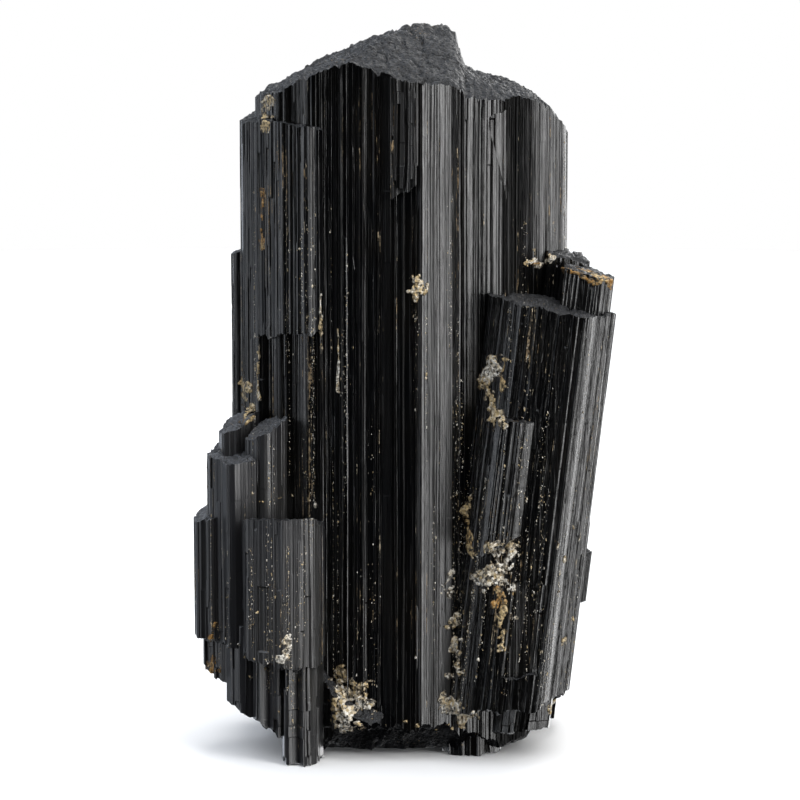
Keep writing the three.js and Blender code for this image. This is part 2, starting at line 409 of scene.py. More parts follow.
def schorl_face(name, turn=0.0, dull=0.0, grey=0.0):
    """Glassy black prism face: fine striation as bump, gloss that changes from rib to rib, pale dust caught
    in grooves and a breath of rust."""
    material = bpy.data.materials.new(name)
    t = Tree(material)
    turned = (0, turn, 0)
    strand = t.noise(t.place((1.3, 1.3, 0.018), turned), 2.0, 0.6)
    fine = t.noise(t.place((4.2, 4.2, 0.05), turned), 3.0, 0.6)
    hair = t.noise(t.place((11.0, 11.0, 0.16), turned), 2.0, 0.6)
    patch = t.noise(t.place((0.10, 0.10, 0.06), turned), 3.0, 0.55)
    grit = t.noise(t.place((2.6, 2.6, 1.6), turned), 3.0, 0.7)
    dash = t.noise(t.place((3.4, 3.4, 0.22), turned), 2.0, 0.6)
    tone = t.mark("tone")
    dusty = t.ramp(dash * 0.6 + t.mark("dust") * 0.22 + patch * 0.30 + grit * 0.30, 0.86, 0.90)
    colour = t.mix(t.ramp(patch, 0.42, 0.62), (0.0010 + grey, 0.0011 + grey, 0.0014 + grey * 1.1),
                   (0.0026 + grey, 0.0023 + grey, 0.0020 + grey))
    colour = t.mix(dusty * t.ramp(grit, 0.40, 0.62), colour, t.mix(t.ramp(patch, 0.4, 0.6), CREAM, TAN))
    rough = 0.13 + dull + tone * 0.14 + t.ramp(fine, 0.35, 0.75) * 0.12 + dusty * 0.4
    normal = t.bump(strand, 0.3, 0.0005)
    normal = t.bump(fine * 0.7 + hair * 0.3, 0.42, 0.00015, normal)
    normal = t.bump(grit + dusty * 0.8, 0.10, 0.00008, normal)
    t.finish(**{"Base Color": colour, "Roughness": rough, "IOR": SCHORL_IOR, "Normal": normal})
    return material


def schorl_break(name, sheen=0.5, light=0.030):
    """Broken and rough-grown black surface: granular, dull, with pale grit in its hollows."""
    material = bpy.data.materials.new(name)
    t = Tree(material)
    grain = t.noise(t.place((1.6, 1.6, 1.6)), 4.0, 0.75)
    crumb = t.node("ShaderNodeTexVoronoi", {}, Vector=t.place((2.1, 2.1, 2.1)), Scale=1.0)
    stain = t.noise(t.place((0.12, 0.12, 0.12)), 3.0, 0.6)
    pale = t.ramp(t.noise(t.place((3.1, 3.1, 3.1)), 2.0, 0.6) * 0.7 + stain * 0.4, 0.72, 0.76)
    glint = t.ramp(t.noise(t.place((4.5, 4.5, 4.5)), 1.0, 0.5), 0.60, 0.70)
    colour = t.mix(t.ramp(grain, 0.4, 0.7), (0.002, 0.0022, 0.003), (light, 1.1 * light, 1.33 * light))
    colour = t.mix(t.ramp(crumb, 0.30, 0.62) * 0.7, colour, (0.001, 0.001, 0.0012))
    colour = t.mix(pale, colour, TAN)
    rough = 0.32 + t.ramp(grain, 0.3, 0.7) * 0.25 + pale * 0.3 - glint * 0.16
    normal = t.bump(crumb, 0.9, 0.0004)
    normal = t.bump(grain, 0.9, 0.0005, normal)
    gloss = {"Roughness": rough, "Specular IOR Level": sheen, "IOR": SCHORL_IOR}
    t.finish(**{"Base Color": colour, "Normal": normal}, **gloss)
    return material


def feldspar_finish(name):
    """Weathered feldspar: grains from white to tan, rusty where its tone is high, with dark grit and a
    brown rim."""
    material = bpy.data.materials.new(name)
    t = Tree(material)
    tone = t.mark("tone")
    speck = t.noise(t.place((1.8, 1.8, 1.8)), 4.0, 0.7)
    cell = t.node("ShaderNodeTexVoronoi", {}, Vector=t.place((2.4, 2.4, 2.4)), Scale=1.0, out="Color")
    kind, warm, shade = t.parts(cell)
    pale = t.mix(t.ramp(tone + warm * 0.5, 0.30, 0.75), (0.74, 0.71, 0.64), (0.50, 0.38, 0.20))
    colour = t.mix(t.ramp(tone + kind * 0.3, 0.85, 1.15), pale, OCHRE)
    colour = t.mix(t.ramp(shade, 0.45, 0.10) * 0.9, colour, (0.06, 0.05, 0.035))
    colour = t.mix(t.ramp(speck, 0.53, 0.61), colour, (0.012, 0.011, 0.010))
    colour = t.mix(t.ramp(t.mark("rim") + speck * 0.3, 0.36, 0.16), colour, (0.055, 0.034, 0.014))
    rough = 0.45 + speck * 0.4
    normal = t.bump(speck, 0.6, 0.0002)
    t.finish(**{"Base Color": colour, "Roughness": rough, "Normal": normal})
    return material


FACE = schorl_face("schorl_prism_faces")
FACE_LEANING = schorl_face("schorl_leaning_faces", -LEAN)
FACE_ROUGH = schorl_face("schorl_rough_layer", 0.0, 0.22, 0.003)
FACE_LEFT = schorl_face("schorl_left_faces", 0.0, 0.12, 0.015)
BREAK = schorl_break("schorl_broken")
# A copy of the broken finish with darker colour and weaker gloss, for the underside: painted shade under the
# specimen.
BREAK_PAINTED_SHADE = schorl_break("schorl_broken_painted_shade", 0.03, 0.006)
BREAK_LEFT = schorl_break("schorl_broken_left", 0.9, 0.075)
FELDSPAR = feldspar_finish("feldspar_grains")

# ---------------------------------------------------------------- the big crystal

DIRECTIONS = -7.5 + 30.0 * np.arange(12)  # the ways its facets can face, in degrees right of the front


def side_turns(corners):
    """Which way each side of an outline faces, in degrees right of the front."""
    p = np.array(corners, dtype=float)
    along = np.roll(p, -1, axis=0) - p
    return np.degrees(np.arctan2(along[:, 1], along[:, 0]))


def own_facets(corners, share=0.18, spread=4.0):
    """For each side, how its ribs face: most as the side does, with risers turned to one of the two crystal
    directions that flank its own, the one nearer the front, and a share of them turned that way instead,
    with risers as far the other way. Then that share, and how far the facing strays, in degrees."""
    made = []
    for turn in side_turns(corners):
        off = (DIRECTIONS - turn + 180) % 360 - 180
        beside = turn + off[np.argsort(np.abs(off))]
        towards_front = min(beside[1:3], key=lambda d: abs((d + 180) % 360 - 180))
        away = 2 * turn - towards_front
        made.append((turn, towards_front, towards_front, away, share, spread))
    return made


def faced(first, reach, axis=(0, 0)):
    """The corners of a prism whose faces stand evenly round an axis, each at its own reach from it. The first
    face is turned that many degrees right of the front, and the rest follow anticlockwise. The corner after
    a face lies along it at (next reach - reach cos s) / sin s, for faces that stand s apart."""
    step = 2 * math.pi / len(reach)
    corners = []
    for k, near in enumerate(reach):
        a = math.radians(first) + k * step
        along = (reach[(k + 1) % len(reach)] - near * math.cos(step)) / math.sin(step)
        x = axis[0] + near * math.sin(a) + along * math.cos(a)
        corners.append((x, axis[1] - near * math.cos(a) + along * math.sin(a)))
    return corners


def split(corners, side, share):
    """The outline with one side in two, so that each part of it can have its own striation."""
    a, b = np.array(corners[side]), np.array(corners[side + 1])
    return corners[: side + 1] + [tuple(a + share * (b - a))] + corners[side + 1 :]


# The big prism has a face every 30 degrees, as tourmaline does. Its outline starts after the left face.
CORE = faced(-97.5, (24, 21, 17.5, 17, 17, 19.5, 25.5, 28, 26, 22.5, 24, 25))
CORE = split(split(split(CORE, 4, 0.5), 5, 0.45), 1, 0.45)
FRONT_RIGHT = CORE[5]  # the corner at the right of the bright front face
# The sides seen from the front have ribs of their own, given as own_facets gives them.
FRONT_FACETS = {
    1: (-37.5, -67.5, -7.5, -67.5, 0.5, 4.0),
    2: (-7.5, -97.5, -37.5, -7.5, 0.02, 2.4),
    3: (-7.5, -97.5, -37.5, 22.5, 0.02, 2.4),
    4: (22.5, -7.5, -7.5, 52.5, 0.12, 4.0),
    5: (50.0, -7.5, 22.5, 82.5, 0.04, 2.0),
    6: (52.5, 82.5, 82.5, 22.5, 0.35, 4.0),
    7: (52.5, 82.5, 82.5, 22.5, 0.9, 3.0),
}
CORE_FACETS = [FRONT_FACETS.get(side, facet) for side, facet in enumerate(own_facets(CORE))]

ROUGH_LAYER = [(-2.2, -17.8), (1.6, -18.5), (3, -16), (-1, -15)]
NOTCH_LEAN = math.radians(-14)
NOTCH_TOP = 103.0
NOTCH_DEPTH = 1.6
# The blocky, chipped look of the feet, and the fewer, wider ribs of the left crystals.
WORN = {"width": 0.7, "groove": 0.2, "step": 2.6, "jog": 0.3, "unrest": 0.2}
SMOOTHER = {"width": 0.42, "groove": 0.15}


def notch():
    """A flake missing beside the front right corner: an upright striated wedge, NOTCH_DEPTH inside the front
    right face, whose left edge is cut away along a line that leans in towards its foot. Its places are
    counted from that corner."""
    x, y = FRONT_RIGHT[0] + 0.4, FRONT_RIGHT[1]
    inner = NOTCH_DEPTH / math.cos(math.radians(22.5))
    corners = [(x - 3.4, y - 4), (x + 2.4, y - 1), (x + 1.6, y + 1.6), (x - 3.2, y - 1.3 + inner)]
    wedge = column("part", corners, 80, NOTCH_TOP, 61, (0.4, 0), None, 0.0, FACE)

    def edge(across, up):
        return x - 2.9 - math.tan(NOTCH_LEAN) * (NOTCH_TOP - up) + 0.12 * drift(across, up, 1.3, 62)

    turned = np.array([[0, 1, 0], [0, 0, 1], [1, 0, 0]], dtype=float)
    side = broken_block(((y - 8, y + 6), (70, 115)), 0.5, x - 15, edge, BREAK, ((0, 0, 0), turned))
    combine(wedge, side, "DIFFERENCE")
    return wedge


TALL = 116.0
# The slopes of the termination, the bevel at the far right last: the height of each over the axis, less TALL,
# and how much it rises along x and y. Right of STEP_AT the end steps down to a lower slope.
TERMINATION = [(-0.5, 0.45, 0.04), (-2.0, -0.24, 0.32), (3.5, -0.03, -0.3), (12.5, -1.1, 0.0)]
STEP_AT = 10.0
STEP_WIDTH = 1.2
SAG = 1.8  # of the edge above the step
SAG_START = 3.8  # how far left of the step it begins
SAG_WIDTH = 3.6
LOWER_SLOPE = (-4.0, -0.34, 0.03)


def summit(x, y):
    """The height of the termination: the lowest of the left slope, the front slope and the back slope, and
    of a lower slope to the right of the step, ending in a bevel at the far right."""
    slopes = [TALL + over + along_x * x + along_y * y for over, along_x, along_y in TERMINATION]
    *high, bevel = slopes
    z = np.minimum.reduce(high)
    lower = TALL + LOWER_SLOPE[0] + LOWER_SLOPE[1] * x + LOWER_SLOPE[2] * y
    past = np.clip((x + 0.1 * y + 0.5 * drift(x, y, 2.2, 5) - STEP_AT + 0.4) / STEP_WIDTH, 0, 1)
    z = z - SAG * np.clip((x - STEP_AT + SAG_START) / SAG_WIDTH, 0, 1) ** 3
    z = z * (1 - past) + np.minimum(z, lower) * past
    return np.minimum(z, bevel)


def top_of(corners, level, slope, seed, rough=1.0, lean=0.0):
    """A rough top for one column: the block above z = level + slope . (x, y) measured from its middle."""
    p = np.array(corners, dtype=float)
    middle = p.mean(axis=0)
    shift = math.tan(lean) * level
    low, high = p.min(axis=0) - 1.5, p.max(axis=0) + 1.5
    spans = ((low[0] + shift, high[0] + shift), (low[1], high[1]))

    def surface(x, y):
        z = level + slope[0] * (x - middle[0] - shift) + slope[1] * (y - middle[1])
        return z + 0.8 * end_relief(x, y, seed, rough)

    return spans, surface


def column(name, corners, low, high, seed, top=(0, 0), foot=None, lean=0.0, finish=None, facets=None,
           share=0.2, end=None, **looks):
    """One crystal: a striated prism with a rough top, and a broken foot where one is given."""
    face = finish or (FACE if lean == 0 else FACE_LEANING)
    facets = facets or own_facets(corners, share)
    start = low - (3 if foot else 0)
    piece = prism(name, corners, facets, start, high + 4, seed, face, lean, **looks)
    spans, surface = top_of(corners, high, top, seed, lean=lean)
    combine(piece, broken_block(spans, 0.42, high + 9, surface, end or BREAK), "DIFFERENCE")
    if foot:
        spans, surface = top_of(corners, low, foot, seed + 50, 1.3, lean)

        def grounded(x, y):
            return np.maximum(surface(x, y), 0.0)

        combine(piece, broken_block(spans, 0.5, low - 9, grounded, BREAK), "DIFFERENCE")
    return piece


def join_columns(body, parts, worn_below, looks, **shared):
    """Joins smaller crystals to a body. Each is an outline, its low and high ends, a seed, and the slopes of
    its top and foot, where None leaves the foot flat. Those that start below a height look worn."""
    for corners, low, high, seed, top, foot in parts:
        style = WORN if low < worn_below else looks
        combine(body, column("part", corners, low, high, seed, top, foot, **style, **shared), "UNION")


def main_crystal():
    looks = {"width": 0.22, "groove": 0.4, "step": 9.0, "jog": 0.07}
    body = prism("main_crystal_body", CORE, CORE_FACETS, 1.0, 122, 11, FACE, **looks)

    ragged = {"width": 0.16, "step": 2, "jog": 0.3, "unrest": 0.3}
    layer = column("part", ROUGH_LAYER, 91, 114, 60, (0, 0), (0.6, 0), 0.0, FACE_ROUGH, **ragged)
    combine(body, layer, "UNION")

    def top(x, y):
        comb = chance(np.floor(x / 0.45), np.floor(y / 3.0), 3) - 0.5
        return summit(x, y) + 0.9 * end_relief(x, y, 21) + 0.22 * comb

    combine(body, broken_block(((-29, 30), (-22, 27)), 0.32, 130, top, BREAK), "DIFFERENCE")

    def under(x, y):
        inner = np.clip((y + 15.5) / 5, 0, 1) * np.clip((24 - np.hypot(x, y - 2)) / 4, 0, 1)
        return np.maximum(6.2 - 6.1 * inner + 1.1 * end_relief(x, y, 33, 1.4), 0.0)

    upper_left = [(-26.4, 5.5), (-25.6, 0.4), (-23.2, -2.8), (-19, -2), (-19, 9), (-25.2, 10.4)]
    front_left = [(-23.4, -2.4), (-19.5, -8.8), (-15, -12.5), (-12.4, -12.8), (-14, -4), (-20, 0)]
    parts = [
        ([(-28.3, 10), (-27.6, 5.6), (-24, 4), (-20, 10), (-21, 16), (-25.6, 15)],
         17, 80.4, 54, (0.4, 0), (0, 0)),
        ([(24, 6), (27.5, 8.4), (26.4, 15.6), (20, 19.4), (18, 12)], 12, 78, 55, (-0.2, -0.4), (0, 0)),
        ([(6, 19), (9.4, 22.6), (2, 23.6), (-5.4, 23.6), (-4, 18)], 9, 96, 56, (0.15, -0.5), (0, 0)),
        ([(-12, 18), (-13, 22.6), (-19.4, 20.2), (-23, 14.6), (-18, 11)], 13, 66, 57, (0.3, -0.2), (0, 0)),
        ([(-13.2, -13.5), (-8.6, -17.6), (-3.4, -18.4), (-2, -12), (-12, -9)], 2.0, 12, 58, (0, 1.4), None),
    ]
    join_columns(body, [(upper_left, 36, 101.6, 51, (0.3, 0.1), None)], 0, {}, share=0.45)
    join_columns(body, [(front_left, 68, 101.3, 52, (0, 0.1), (0.2, 0))], 0, {}, share=0.5)
    join_columns(body, parts, 5, {})
    # The broken underside takes the darker copy of the broken finish: painted shade under the specimen.
    combine(body, broken_block(((-30, 30), (-25, 27)), 0.5, -8, under, BREAK_PAINTED_SHADE), "DIFFERENCE")
    combine(body, notch(), "DIFFERENCE")
    foot = [(5.4, -8), (7.4, -12.4), (12, -13.4), (16.2, -9.6), (17, -3), (6, 1)]
    join_columns(body, [(foot, 0.3, 12, 59, (0, 0), (0, 0))], 5, {})
    return body


def leaning_crystals():
    outline = faced(-55, (11, 11, 9, 10, 10, 7.5), (15, -9))
    facets = own_facets(outline, 0.12, 2.0)
    facets[0] = (-4.0, 50.0, 22.5, -37.5, 0.12, 2.0)  # black in front, with few bright ribs
    name = "leaning_crystals_body"
    body = column(name, outline, 9, 72.8, 71, (-0.2, 0.03), (0.06, -0.02), LEAN, facets=facets)
    parts = [
        ([(8, -17.6), (8.8, -22.4), (12, -23), (14.4, -18.6)], 36, 55.6, 72, (0, 0), (0.5, 0)),
        ([(13.8, -3.4), (20, -4), (21.2, 1), (20, 6), (15, 6)], 56, 79.4, 73, (-0.34, 0.06), (0, 0)),
        ([(16.2, -10.8), (22.4, -12), (24.8, -7.4), (22, -1), (17, -3)], 60, 77.6, 74, (-0.22, 0.05), (0, 0)),
        ([(22, -7), (25.6, -6.6), (27.1, -3.4), (26, 0.6), (22, 0)], 23.4, 31.4, 75, (0, 0), (0, 0)),
        ([(13, -12), (17, -15.4), (22.6, -13.6), (24, -7), (18, -4)], 4.6, 14, 76, (0, 0), (0.1, 0)),
    ]
    join_columns(body, parts, 10, {}, lean=LEAN)
    left, right, front = 13.6, 19.6, -20.0  # of a block missing from the front
    gap = [(left, front - 2), (right, front - 2), (right, front + 0.9), (left, front + 0.8)]
    combine(body, column("part", gap, 15, 30, 90, (-0.25, 0), (0.1, 0), LEAN), "DIFFERENCE")
    return body


def left_crystals():
    front = [(-25.4, -16), (-24.4, -19.6), (-19, -22), (-14.4, -21), (-13.1, -18.6), (-12.6, -11), (-24, -8)]
    name = "left_crystals_body"
    body = column(name, front, 17, 39.2, 81, (0, -0.2), (-0.12, 0), finish=FACE_LEFT, **SMOOTHER)
    parts = [
        ([(-31.6, -5), (-31, -8.5), (-27.6, -14.2), (-24.6, -13.6), (-20, -8), (-22, 1), (-29, 1)],
         18, 48.4, 82, (0.06, 0.1), (0, 0)),
        ([(-33.9, -4), (-33.4, -8), (-30.6, -11.2), (-26, -9), (-28, 0), (-33, 0)],
         18.6, 38.8, 83, (0.4, 0.1), (0, 0)),
        ([(-25.2, -9.6), (-22.8, -12.4), (-20.4, -11.6), (-18, -7), (-23, -4)],
         36, 52.6, 84, (0.5, 0.2), (0, 0)),
        ([(-29.8, -4.6), (-28.6, -7.4), (-26.4, -7.6), (-23, -3), (-28, 0)],
         42, 52.8, 85, (0.5, 0.2), (0, 0)),
        ([(-32.6, -4.6), (-30.6, -9), (-27.6, -11.4), (-22, -8), (-26, 1), (-31, 0)],
         11.6, 22, 86, (0, 0), (-0.5, 0)),
        ([(-28.4, -11), (-26, -14.6), (-22.4, -15.4), (-18, -9), (-24, -5)], 7, 22, 87, (0, 0), (-0.4, 0)),
        ([(-24.4, -13.6), (-22.8, -17.4), (-19.8, -18.6), (-15, -14), (-18, -8)],
         5, 20, 88, (0, 0), (-0.5, 0)),
        ([(-19.6, -15), (-18.6, -19), (-15.6, -20), (-13.4, -17.4), (-12.6, -9), (-18, -9)],
         0.4, 19, 89, (0, 0), (0, 0)),
    ]
    join_columns(body, parts, 15, SMOOTHER, finish=FACE_LEFT, end=BREAK_LEFT)
    return body


def settle(piece, angle=38):
    """Flat prism facets, soft broken faces with their sharp edges kept."""
    mesh = piece.data
    names = [m.name for m in mesh.materials]
    soft = np.array([n in (BREAK.name, BREAK_PAINTED_SHADE.name, BREAK_LEFT.name) for n in names])
    slots = np.zeros(len(mesh.polygons), dtype=np.int32)
    mesh.polygons.foreach_get("material_index", slots)
    mesh.set_sharp_from_angle(angle=math.radians(angle))
    mesh.polygons.foreach_set("use_smooth", soft[slots])


# ---------------------------------------------------------------- feldspar


def grain_shape():
    """A twenty-sided ball: 12 points and 20 faces, as arrays."""
    g = (1 + math.sqrt(5)) / 2
    p = [(-1, g, 0), (1, g, 0), (-1, -g, 0), (1, -g, 0), (0, -1, g), (0, 1, g), (0, -1, -g), (0, 1, -g),
         (g, 0, -1), (g, 0, 1), (-g, 0, -1), (-g, 0, 1)]
    f = [(0, 11, 5), (0, 5, 1), (0, 1, 7), (0, 7, 10), (0, 10, 11),
         (1, 5, 9), (5, 11, 4), (11, 10, 2), (10, 7, 6), (7, 1, 8),
         (3, 9, 4), (3, 4, 2), (3, 2, 6), (3, 6, 8), (3, 8, 9),
         (4, 9, 5), (2, 4, 11), (6, 2, 10), (8, 6, 7), (9, 8, 1)]
    p = np.array(p, dtype=float)
    return p / np.linalg.norm(p, axis=1)[:, None], np.array(f)


def whole(pieces):
    """One hidden mesh of all the crystals, for finding their surface."""
    form = bmesh.new()
    for piece in pieces:
        form.from_mesh(piece.data)
    mesh = bpy.data.meshes.new("whole")
    form.to_mesh(mesh)
    form.free()
    joined = bpy.data.objects.new("whole", mesh)
    bpy.context.scene.collection.objects.link(joined)
    return joined


def axes(turn):
    """Across, up and outwards for a view of the specimen from turn degrees right of the front."""
    a = math.radians(turn)
    return np.array([[math.cos(a), math.sin(a), 0], [0, 0, 1], [math.sin(a), -math.cos(a), 0]])


OUTSIDE = 60.0


def surface_at(target, turn, u, v):
    """How far out the crystals' surface lies at each across u and height v, seen from turn. Points start
    outside and are shrunk on to the crystals straight inwards; where they miss, the value is not a number."""
    mesh = bpy.data.meshes.new("feeler")
    points = np.stack([u.ravel(), v.ravel(), np.full(u.size, OUTSIDE)], 1) * MM
    mesh.from_pydata(points.tolist(), [], [])
    feeler = bpy.data.objects.new("feeler", mesh)
    bpy.context.scene.collection.objects.link(feeler)
    feeler.matrix_world = Matrix(axes(turn).T.tolist()).to_4x4()
    wrap = feeler.modifiers.new("wrap", "SHRINKWRAP")
    wrap.target = target
    wrap.wrap_method = "PROJECT"
    wrap.use_project_z = True
    wrap.use_positive_direction = False
    wrap.use_negative_direction = True
    bpy.context.view_layer.update()
    seen = feeler.evaluated_get(bpy.context.evaluated_depsgraph_get()).data
    found = np.empty(3 * u.size, dtype=np.float32)
    seen.vertices.foreach_get("co", found)
    drop(feeler)
    w = found.reshape(-1, 3)[:, 2].astype(float) / MM
    return np.where(w > OUTSIDE - 1, np.nan, w).reshape(u.shape)


def evened(w, reach):
    """The mean over a square of the grid: repeated sums of shifted copies."""
    total = np.zeros_like(w)
    for i in range(-reach, reach + 1):
        for j in range(-reach, reach + 1):
            total += np.roll(np.roll(w, i, axis=0), j, axis=1)
    return total / (2 * reach + 1) ** 2


def shell(front, back, keep):
    """A closed shell from two grids of points and the cells to keep: the front's quads, the back's turned
    round, and a wall along every edge that only one kept quad uses."""
    rows, columns = keep.shape[0] + 1, keep.shape[1] + 1
    index = np.arange(rows * columns).reshape(rows, columns)
    quads = np.stack([index[:-1, :-1], index[1:, :-1], index[1:, 1:], index[:-1, 1:]], 2)[keep]
    edges = np.stack([quads, np.roll(quads, -1, axis=1)], 2).reshape(-1, 2)
    size = rows * columns
    code = edges[:, 0] * size + edges[:, 1]
    rim = edges[~np.isin(code, edges[:, 1] * size + edges[:, 0])]
    walls = np.stack([rim[:, 1], rim[:, 0], rim[:, 0] + size, rim[:, 1] + size], 1)
    faces = np.vstack([quads, quads[:, ::-1] + size, walls])
    used, faces = np.unique(faces, return_inverse=True)
    return np.vstack([front.reshape(-1, 3), back.reshape(-1, 3)])[used], faces.reshape(-1, 4), used % size


GRID = 0.13  # between the points of a crust
CLIFF = 1.6  # a crust ends where the surface drops by more than this between two points
ROOT = 0.9  # how deep a crust's back lies in the crystal


def crust(target, name, turn, tone, strokes, seed, thick=0.26):
    """A crust of feldspar on the crystals. Each stroke is a line from (u, v) to (u, v) that goes from one
    radius to another, and f is 1 on the line and 0 at the radius, frayed by drift. The outer face is the
    crystals' evened surface + thick sqrt(f) + domed grains, and dips into the crystal where f is below 0."""
    s = np.array(strokes, dtype=float)
    pad = s[:, 4:].max() * 0.5 + 0.4
    us = np.arange(s[:, [0, 2]].min() - s[:, 4:].max() - pad, s[:, [0, 2]].max() + s[:, 4:].max() + pad, GRID)
    vs = np.arange(s[:, [1, 3]].min() - s[:, 4:].max() - pad, s[:, [1, 3]].max() + s[:, 4:].max() + pad, GRID)
    u, v = np.meshgrid(us, vs, indexing="ij")
    f = np.full(u.shape, -9.0)
    for u0, v0, u1, v1, r0, r1 in s:
        length2 = (u1 - u0) ** 2 + (v1 - v0) ** 2 + 1e-9
        t = np.clip(((u - u0) * (u1 - u0) + (v - v0) * (v1 - v0)) / length2, 0, 1)
        away = np.hypot(u - u0 - t * (u1 - u0), v - v0 - t * (v1 - v0))
        f = np.maximum(f, 1 - away / (r0 + t * (r1 - r0)))
    f = f + 0.75 * drift(u, v, 1.6, seed) + 0.6 * drift(u, v, 0.55, seed + 1) + 0.05
    w = surface_at(target, turn, u, v)
    missing = np.isnan(w)
    w = np.where(missing, np.nanmedian(w), w)
    ground = np.clip(evened(w, 2), w - 0.25, w + 0.5)
    value, near = cells(u, v, 0.5, seed + 2)
    grain = 0.34 * (value - 0.5) - 0.16 * near**2
    out = np.where(f > 0, thick * np.sqrt(np.clip(f, 0, 1)) + grain, f * 0.8)
    corner = np.stack([w[:-1, :-1], w[1:, :-1], w[1:, 1:], w[:-1, 1:]])
    most = np.stack([f[:-1, :-1], f[1:, :-1], f[1:, 1:], f[:-1, 1:]]).max(axis=0)
    lost = missing[:-1, :-1] | missing[1:, :-1] | missing[1:, 1:] | missing[:-1, 1:]
    keep = (most > -0.05) & (corner.max(axis=0) - corner.min(axis=0) < CLIFF) & ~lost
    turned = axes(turn)
    front = np.stack([u, v, ground + out], 2) @ turned
    back = np.stack([u, v, w - ROOT], 2) @ turned
    points, faces, used = shell(front, back, keep)
    hue = np.clip(tone + 0.28 * drift(u, v, 2.4, seed + 4), 0, 1).ravel()[used]
    marks = {"tone": hue, "rim": np.clip(f, 0, 1).ravel()[used]}
    return mesh_from(name, points, faces.tolist(), FELDSPAR, marks)


def specks(target, name, zones, seed):
    """Loose angular grains. Each zone is a leaning strip of the surface: across u, height v, half width,
    half height, lean, number, size and tone, seen from turn. Each grain is a twenty-sided ball stretched
    and turned at random, half sunk where its place meets the crystals."""
    rng = np.random.default_rng(seed)
    shape, tris = grain_shape()
    centres, sizes, tones = [], [], []
    for turn, u0, v0, wide, tall, lean, count, size, tone in zones:
        a = rng.uniform(-1, 1, count)
        u = u0 + wide * rng.normal(0, 0.5, count) + math.tan(math.radians(lean)) * a * tall
        v = v0 + a * tall
        w = surface_at(target, turn, u, v)
        found = ~np.isnan(w)
        radius = size * np.exp(0.45 * rng.standard_normal(count))
        place = np.stack([u, v, w - 0.15 * radius], 1)[found]
        centres.append(place @ axes(turn))
        sizes.append(radius[found])
        tones.append(np.clip(tone + 0.25 * rng.standard_normal(count), 0, 1)[found])
    centres, sizes, tones = np.vstack(centres), np.concatenate(sizes), np.concatenate(tones)
    n = len(sizes)
    p = shape[None] * rng.uniform(0.7, 1.3, (n, len(shape), 1)) * sizes[:, None, None]
    a = rng.uniform(0, 2 * np.pi, n)[:, None]
    x = p[:, :, 0] * np.cos(a) - p[:, :, 1] * np.sin(a)
    y = p[:, :, 0] * np.sin(a) + p[:, :, 1] * np.cos(a)
    p = np.stack([x, y, p[:, :, 2] * rng.uniform(0.9, 2.4, (n, 1))], 2) + centres[:, None, :]
    faces = (tris[None] + np.arange(n)[:, None, None] * len(shape)).reshape(-1, 3)
    marks = {"tone": np.repeat(tones, len(shape)), "rim": np.ones(n * len(shape))}
    return mesh_from(name, p.reshape(-1, 3), faces.tolist(), FELDSPAR, marks)


def plot(node, across, up, wide, tall, turn=0):
    """An oblong on one side of the specimen, as its middle and half sizes in mm, seen from turn degrees
    right of the front. Everything is counted in half sizes of a node's box, as that side sees it, from the
    middle of the box, so (0, 0, 1, 1) is the box itself."""
    low, high = (np.array(corner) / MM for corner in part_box(node))
    sides = list(zip(low, high))
    seen = np.array([[x, y, z] for x in sides[0] for y in sides[1] for z in sides[2]])
    flat = (seen @ axes(turn).T)[:, :2]
    low, high = flat.min(axis=0), flat.max(axis=0)
    half = (high - low) / 2
    return (low + high) / 2 + half * (across, up), half * (wide, tall)


def growth(middle, half, lean, girth, buds, seed, stem_kept=True):
    """Strokes of a crust inside an oblong. A stem follows the longer way and wanders off it by a sum of two
    sines, swelling and thinning; lean slants it across. Buds lie about it at random. With no stem kept, the
    buds alone are left, as loose patches."""
    rng = np.random.default_rng(seed)
    long = int(half[1] >= half[0])
    joints = 4 + int(half[long] / 1.5)
    t = np.linspace(-0.85, 0.85, joints)
    sway = lean * t + 0.3 * np.sin(4 * t + rng.uniform(0, 6)) + 0.15 * np.sin(9 * t + rng.uniform(0, 6))
    stem = np.zeros((joints, 2))
    stem[:, long] = t * half[long]
    stem[:, 1 - long] = sway * half[1 - long]
    radius = np.clip(girth * half.min() * rng.uniform(0.45, 1.25, joints), 0.18, None)
    made = np.column_stack([stem[:-1], stem[1:], radius[:-1], radius[1:]])
    made = made[rng.uniform(size=joints - 1) > (0.15 if stem_kept else 2)]
    heart = rng.uniform(-0.8, 0.8, (buds, 2)) * half
    size = np.clip(girth * half.min() * rng.uniform(0.3, 0.9, buds), 0.18, None)
    turn = rng.uniform(0, 2 * np.pi, buds)
    tip = heart + 1.2 * size[:, None] * np.stack([np.cos(turn), np.sin(turn)], 1)
    made = np.vstack([made, np.column_stack([heart, tip, size, 0.7 * size])])
    made[:, :4] += np.tile(middle, 2)
    return made


# Crusts that stand for a CAD lump fill its box: rustiness, lean, girth, buds.
LUMP_HABITS = {
    "feldspar_on_shoulder": (0.35, 0.4, 0.50, 3),
    "feldspar_in_front_pit": (0.3, 0.3, 0.35, 5),
    "feldspar_in_upper_seam": (0.3, -0.1, 0.55, 5),
    "feldspar_fork": (0.25, 0.8, 0.42, 8),
    "feldspar_in_lower_seam": (0.25, 0.2, 0.42, 10),
    "feldspar_in_lower_pit": (0.15, 0.2, 0.30, 5),
    "feldspar_at_base": (0.4, 0.2, 0.42, 12),
    "feldspar_heel": (0.1, -0.5, 0.45, 8),
    "feldspar_on_left_flank": (0.6, 0.1, 0.55, 3),
    "feldspar_on_left_crystal": (0.05, 0.2, 0.45, 2),
}

